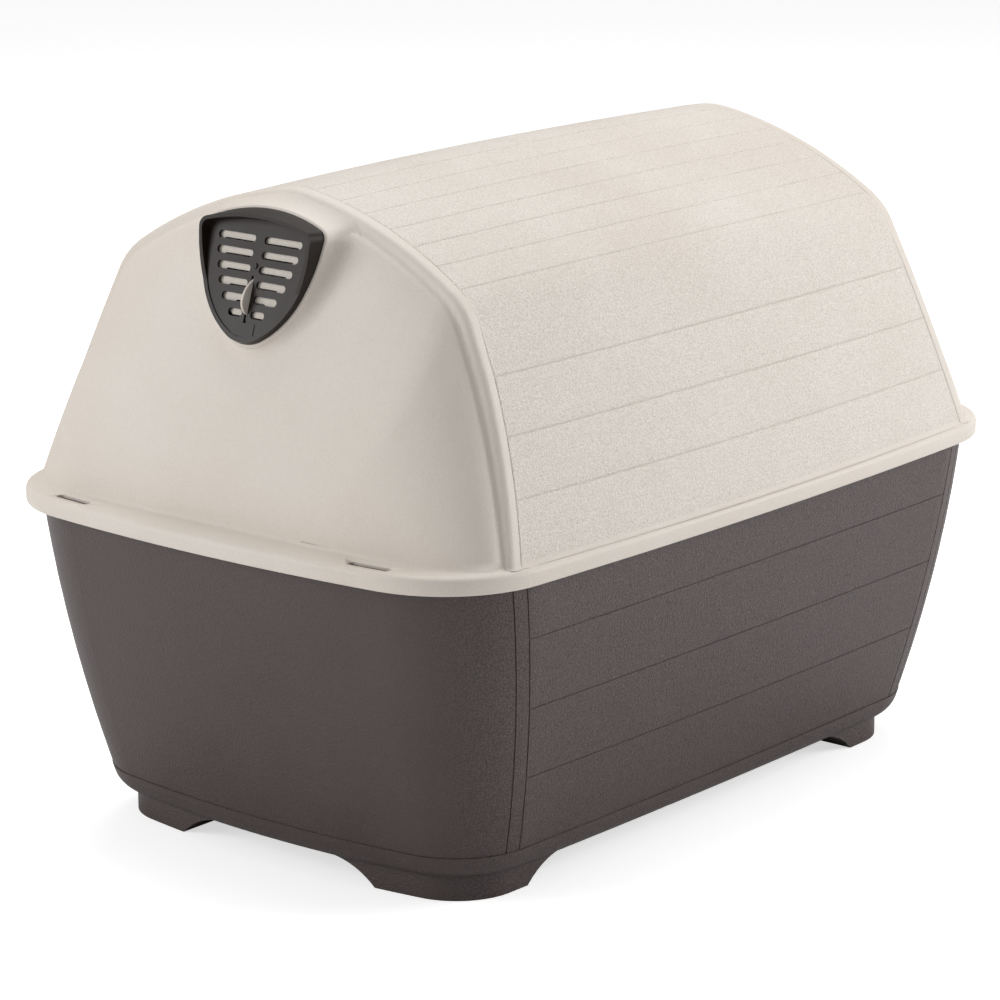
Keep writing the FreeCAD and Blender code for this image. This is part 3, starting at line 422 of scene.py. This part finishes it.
def roof_skin():
    """Outer face of the roof: points, faces and the finish of each face (0 planks, 1 smooth)."""
    front, barrel, rear = list(reversed(end_rows(-1))), barrel_rows(), end_rows(1)
    rows = front + barrel + rear
    width, last = len(rows[0]), len(rows) - 1
    points = [point for row in rows for point in row]
    faces, finish = [], []
    for r in range(last):
        planked = len(front) <= r < len(front) + len(barrel) - 1
        for first in range(r * width, (r + 1) * width - 1):
            faces.append((first, first + 1, first + width + 1, first + width))
            finish.append(0 if planked else 1)
    before = list(range(width)) + [r * width + width - 1 for r in range(1, last)]
    before += range(last * width + width - 1, last * width - 1, -1)
    before += [r * width for r in range(last - 1, 0, -1)]
    foot = np.array([points[i][:2] for i in before])
    edge = nearest_edge(foot, width)
    gap = np.maximum(np.sqrt(((edge - foot) ** 2).sum(axis=1)), 0.1)
    for from_foot, from_edge, level in rim_rings():
        share = from_foot / gap if from_edge is None else 1.0 - from_edge / gap
        after = list(range(len(points), len(points) + len(before)))
        points += [(x, y, level) for x, y in foot + (edge - foot) * share[:, None]]
        faces += [(before[i - 1], after[i - 1], after[i], before[i]) for i in range(len(before))]
        finish += [1] * len(before)
        before = after
    return points, faces, finish


def add_prism(made, outline, push):
    """Adds a closed prism to a mesh in the making."""
    low = [made.verts.new(p) for p in outline]
    high = [made.verts.new(Vector(p) + Vector(push)) for p in outline]
    made.faces.new(low)
    made.faces.new(list(reversed(high)))
    for i in range(len(low)):
        made.faces.new((low[i], high[i], high[i - 1], low[i - 1]))


def slot_outline(side, end):
    """One rim slot with round ends, below the rim; side and end are 1 or -1."""
    slot_across, slot_inset, half_length, half_width, level = 175.0, 14.0, 21.5, 4.0, 290.0
    end_r = rim_end_radius()
    middle_y = rim_half_length - end_r + sqrt((end_r - slot_inset) ** 2 - slot_across ** 2)
    straight = half_length - half_width
    shape = [(straight * s + half_width * cos(first + pi * i / 8), half_width * sin(first + pi * i / 8))
             for s, first in ((1, -pi / 2), (-1, pi / 2)) for i in range(9)]
    turn = -side * end * asin(slot_across / end_r)
    return [(side * slot_across + x * cos(turn) - y * sin(turn),
             end * middle_y + x * sin(turn) + y * cos(turn), level) for x, y in shape]


def door_outline():
    """The doorway's arch in front of the roof, from its crown down past the rim."""
    half_width, top, front, low = 140.0, 462.0, -445.0, 250.0
    turns = [pi * i / 48 for i in range(49)]
    crown = [(half_width * cos(a), front, top - half_width + half_width * sin(a)) for a in turns]
    return crown + [(-half_width, front, low), (half_width, front, low)]


vent_lean = radians(17.5)
vent_middle = Vector((0.0, 357.6, 541.0))
vent_up = Vector((0.0, -sin(vent_lean), cos(vent_lean)))
vent_out = Vector((0.0, cos(vent_lean), sin(vent_lean)))
vent_hole_inset = 6.5


def on_vent(across, up, out):
    return vent_middle + Vector((across, 0.0, 0.0)) + vent_up * up + vent_out * out


def arc_points(start, middle, stop, pieces):
    """Points of the arc through three points of a plane, without its last one."""
    (ax, ay), (bx, by), (cx, cy) = start, middle, stop
    a2, b2, c2 = ax ** 2 + ay ** 2, bx ** 2 + by ** 2, cx ** 2 + cy ** 2
    d = 2 * (ax * (by - cy) + bx * (cy - ay) + cx * (ay - by))
    x = (a2 * (by - cy) + b2 * (cy - ay) + c2 * (ay - by)) / d
    y = (a2 * (cx - bx) + b2 * (ax - cx) + c2 * (bx - ax)) / d
    r = sqrt((ax - x) ** 2 + (ay - y) ** 2)
    first = np.arctan2(ay - y, ax - x)
    half = (np.arctan2(by - y, bx - x) - first + pi) % (2 * pi) - pi
    sweep = (np.arctan2(cy - y, cx - x) - first + pi) % (2 * pi) - pi
    if half * sweep < 0:
        sweep -= 2 * pi * np.sign(sweep)
    turns = [first + sweep * i / pieces for i in range(pieces)]
    return [(x + r * cos(turn), y + r * sin(turn)) for turn in turns]


def vent_outline():
    """Outline of the vent's foot in its own plane (across, up), clockwise from the left of the top."""
    right = (((61.0, 42.5), (66.0, 38.5), (67.2, 31.0), 8), ((67.2, 31.0), (64.2, 9.0), (57.5, -13.0), 14),
             ((57.5, -13.0), (44.0, -37.5), (20.0, -59.0), 16))
    shape = arc_points((-61.0, 42.5), (0.0, 54.0), (61.0, 42.5), 28)
    for a, b, c, pieces in right:
        shape += arc_points(a, b, c, pieces)
    shape += arc_points((20.0, -59.0), (0.0, -65.0), (-20.0, -59.0), 12)
    for a, b, c, pieces in reversed(right):
        shape += arc_points((-c[0], c[1]), (-b[0], b[1]), (-a[0], a[1]), pieces)
    return np.array(shape)


def grown(shape, grow):
    """The outline moved out by grow along its normals."""
    tangent = np.roll(shape, -1, axis=0) - np.roll(shape, 1, axis=0)
    tangent /= np.sqrt((tangent ** 2).sum(axis=1))[:, None]
    return shape + np.stack((-tangent[:, 1], tangent[:, 0]), axis=1) * grow


def metres(mesh_data):
    bmesh.ops.scale(mesh_data, vec=(0.001, 0.001, 0.001), verts=mesh_data.verts)


def mesh_object(name, points, faces, finish, materials):
    """A smooth-shaded object from points in millimetres."""
    mesh = bpy.data.meshes.new(name)
    mesh.from_pydata([[v / 1000.0 for v in p] for p in points], [], faces)
    for material in materials:
        mesh.materials.append(material)
    mesh.polygons.foreach_set("material_index", finish)
    mesh.polygons.foreach_set("use_smooth", [True] * len(faces))
    made = bpy.data.objects.new(name, mesh)
    bpy.context.scene.collection.objects.link(made)
    return made


def roof_openings(materials):
    """All that is cut from the roof after moulding, as one object of closed prisms."""
    cuts = bmesh.new()
    for side in (1, -1):
        for end in (1, -1):
            add_prism(cuts, slot_outline(side, end), (0.0, 0.0, 60.0))
    add_prism(cuts, door_outline(), (0.0, 200.0, 0.0))
    hole = grown(vent_outline(), -vent_hole_inset)
    add_prism(cuts, [on_vent(across, up, -70.0) for across, up in hole], vent_out * 100.0)
    bmesh.ops.recalc_face_normals(cuts, faces=cuts.faces)
    metres(cuts)
    mesh = bpy.data.meshes.new("roof_openings")
    cuts.to_mesh(mesh)
    cuts.free()
    for material in materials:
        mesh.materials.append(material)
    mesh.polygons.foreach_set("material_index", [1] * len(mesh.polygons))
    made = bpy.data.objects.new("roof_openings", mesh)
    bpy.context.scene.collection.objects.link(made)
    return made


def walled_and_cut(skin, cutter):
    """Gives the skin its wall inwards, cuts the openings and keeps the result as plain mesh."""
    wall = skin.modifiers.new("wall", "SOLIDIFY")
    wall.thickness = wall_thickness / 1000.0
    wall.offset = -1.0
    cut = skin.modifiers.new("openings", "BOOLEAN")
    cut.operation = "DIFFERENCE"
    cut.solver = "EXACT"
    cut.object = cutter
    bpy.context.view_layer.update()
    finished = bpy.data.meshes.new_from_object(skin.evaluated_get(bpy.context.evaluated_depsgraph_get()))
    skin.modifiers.clear()
    skin.data = finished
    bpy.data.objects.remove(cutter)


roof_shades = ((226, 217, 207), (229, 221, 212), (221, 211, 200))
roof_scuffs = (0.05, (206, 197, 186))
# Plank flecks are a little stronger on the sides, where the surplus is painted highlight and shade of the
# grain.
plank_plastic = grained(
    "roof_planks", roof_shades, rough=0.52, grain=0.0012, depth=0.0004, flecks=(0.24, 0.2),
    scuffs=roof_scuffs, veins=0.0008)
roof_plastic = grained(
    "roof_beige_polypropylene", roof_shades, rough=0.5, grain=0.0012, depth=0.00016, flecks=(0.05, 0.05),
    scuffs=roof_scuffs)
skin_points, skin_faces, skin_finish = roof_skin()
roof = mesh_object("roof_moulding", skin_points, skin_faces, skin_finish, (plank_plastic, roof_plastic))
walled_and_cut(roof, roof_openings((plank_plastic, roof_plastic)))
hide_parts("roof_shell")
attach(roof, "roof")


# ---- Vent collar
# The seat of the vent: a flat ledge round its foot that flows down into the rear end wall.
# It is part of the roof's moulding, in the same beige polypropylene.

ledge_profile = ((-vent_hole_inset, -9.0), (-vent_hole_inset, -5.0), (1.3, -5.0), (2.1, -5.2), (2.5, -5.8))
flare, flare_least, flare_step = 17.0, 1.0, 2.0      # how far out the collar lands
flare_shares = (0.08, 0.18, 0.3, 0.43, 0.57, 0.72, 0.86, 1.0)
sunk = 0.15                                          # the landing edge lies just under the end wall's face


def struck(tree, start):
    """Where a line along the vent's axis meets the end wall."""
    return tree.ray_cast(start, -vent_out, 200.0)[0]


def landing_point(tree, shape, i):
    """Where the collar's flare meets the end wall, as far out as the wall allows."""
    spread_out = flare
    found = None
    while found is None and spread_out > flare_least:
        across, up = grown(shape, ledge_profile[-1][0] + spread_out)[i]
        found = struck(tree, on_vent(across, up, 30.0))
        spread_out -= flare_step
    return found


def collar_rings(tree):
    shape = vent_outline()
    made = [[on_vent(a, b, out) for a, b in grown(shape, grow)] for grow, out in ledge_profile]
    edge = made[-1]
    under = [struck(tree, p + vent_out * 20.0) or p - vent_out * 10.0 for p in edge]
    landing = [(landing_point(tree, shape, i) or under[i]) - vent_out * sunk for i in range(len(edge))]
    for t in flare_shares:
        made.append([a * (1 - t) ** 2 + b * 2 * t * (1 - t) + c * t ** 2
                     for a, b, c in zip(edge, under, landing)])
    return made


def ring_faces(count, around):
    """Faces between closed rings of points that follow one another."""
    return [(r * around + c, (r + 1) * around + c, (r + 1) * around + (c + 1) % around,
             r * around + (c + 1) % around) for r in range(count - 1) for c in range(around)]


rings = collar_rings(BVHTree.FromPolygons([Vector(p) for p in skin_points], skin_faces))
collar_faces = ring_faces(len(rings), len(rings[0]))
collar = mesh_object("vent_collar", [p for ring in rings for p in ring], collar_faces,
                     [0] * len(collar_faces), (roof_plastic,))
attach(collar, "roof")


# ---- Rim tabs
# Four bars that stand on the tub's flange and catch in the slots of the roof's rim.
# They are moulded in the tub's own plastic.

for name in nodes:
    if name.startswith("rim_tab_"):
        dress(name, tub_plastic)


# ---- Vent
# A hood with two columns of slots that lets air through and keeps rain out, moulded in dark brown plastic.
# A frame inside the roof clamps it to the collar, held by two pins.

vent_plastic = grained(
    "vent_dark_brown", ((33, 25, 21), (38, 29, 24), (28, 21, 17)), rough=0.42, grain=0.0007, depth=0.00008,
    gloss=0.32)
for name in ("vent_grille", "vent_retainer", "vent_pins"):
    dress(name, vent_plastic)


# ---- Shutter
# A plate that slides behind the slots to close them; its thumb tab stands through the hood's face.
# It is moulded in ivory plastic and runs between the hood and the frame behind it.

shutter_plastic = grained(
    "shutter_ivory", ((214, 205, 194), (220, 212, 202), (205, 195, 183)), rough=0.42, grain=0.0009,
    depth=0.00006)
dress("vent_shutter", shutter_plastic)


# ---- Studio
# A plain pale floor that runs on to the horizon, three soft lamps, and the camera at the photograph's place.
# What the camera sees of the floor is lifted to white, and the house's shadow stays on it.

floor_half = 12.0
floor_lift = 0.62


def floor_material():
    material = bpy.data.materials.new("studio_floor")
    material.use_nodes = True
    tree = material.node_tree
    surface = tree.nodes["Principled BSDF"]
    surface.inputs["Base Color"].default_value = colour(240, 240, 240)
    surface.inputs["Roughness"].default_value = 0.9
    surface.inputs["Specular IOR Level"].default_value = 0.1
    surface.inputs["Emission Color"].default_value = (1.0, 1.0, 1.0, 1.0)
    seen = tree.nodes.new("ShaderNodeLightPath").outputs["Is Camera Ray"]
    tree.links.new(reckoned(tree, "MULTIPLY", seen, floor_lift), surface.inputs["Emission Strength"])
    return material


def studio_floor():
    corners = [(-floor_half, -floor_half, 0), (floor_half, -floor_half, 0),
               (floor_half, floor_half, 0), (-floor_half, floor_half, 0)]
    mesh = bpy.data.meshes.new("studio_floor")
    mesh.from_pydata(corners, [], [(0, 1, 2, 3)])
    mesh.materials.append(floor_material())
    made = bpy.data.objects.new("studio_floor", mesh)
    bpy.context.scene.collection.objects.link(made)
    return made


def studio_world():
    """Even light from all round, shown to the camera as plain white."""
    world = bpy.data.worlds.new("studio_world")
    world.use_nodes = True
    tree = world.node_tree
    ambient = tree.nodes["Background"]
    ambient.inputs["Color"].default_value = (1.0, 1.0, 1.0, 1.0)
    ambient.inputs["Strength"].default_value = 0.29
    white = add_node(tree, "ShaderNodeBackground", {"Color": (1.0, 1.0, 1.0, 1.0), "Strength": 1.0})
    rays = tree.nodes.new("ShaderNodeLightPath")
    seen = reckoned(tree, "MAXIMUM", rays.outputs["Is Camera Ray"], rays.outputs["Is Transmission Ray"])
    choose = add_node(tree, "ShaderNodeMixShader", {0: seen, 1: ambient.outputs[0], 2: white.outputs[0]})
    tree.links.new(choose.outputs[0], tree.nodes["World Output"].inputs["Surface"])
    return world


def lamp(name, place, aim, size, power):
    """A square soft lamp at place that looks at aim."""
    light = bpy.data.lights.new(name, "AREA")
    light.shape = "SQUARE"
    light.size = size
    light.energy = power
    made = bpy.data.objects.new(name, light)
    made.location = place
    made.rotation_euler = (Vector(aim) - Vector(place)).to_track_quat("-Z", "Y").to_euler()
    bpy.context.scene.collection.objects.link(made)


def photo_camera():
    """The camera, with its own right, up and backward directions."""
    place = (-2.2631, 2.7804, 1.1999)
    right, up, back = (-0.77268, -0.63479, 0.0), (0.1603, -0.19512, 0.96759), (-0.61422, 0.74764, 0.25252)
    lens = bpy.data.cameras.new("photo_camera")
    lens.sensor_width = 36.0
    lens.lens = 141.26
    lens.clip_end = 60.0
    made = bpy.data.objects.new("photo_camera", lens)
    rows = [(right[i], up[i], back[i], place[i]) for i in range(3)]
    made.matrix_world = Matrix(rows + [(0.0, 0.0, 0.0, 1.0)])
    bpy.context.scene.collection.objects.link(made)
    return made


studio_floor()
bpy.context.scene.world = studio_world()
house_middle = (0.0, 0.0, 0.32)
lamp("side_lamp", (-2.9, -2.7, 1.7), house_middle, 2.2, 92.0)
lamp("rear_lamp", (2.3, 3.3, 1.6), house_middle, 2.2, 72.0)
lamp("top_lamp", (0.5, -0.7, 3.6), house_middle, 2.6, 74.0)
bpy.context.scene.camera = photo_camera()
bpy.context.scene.view_settings.view_transform = "Standard"
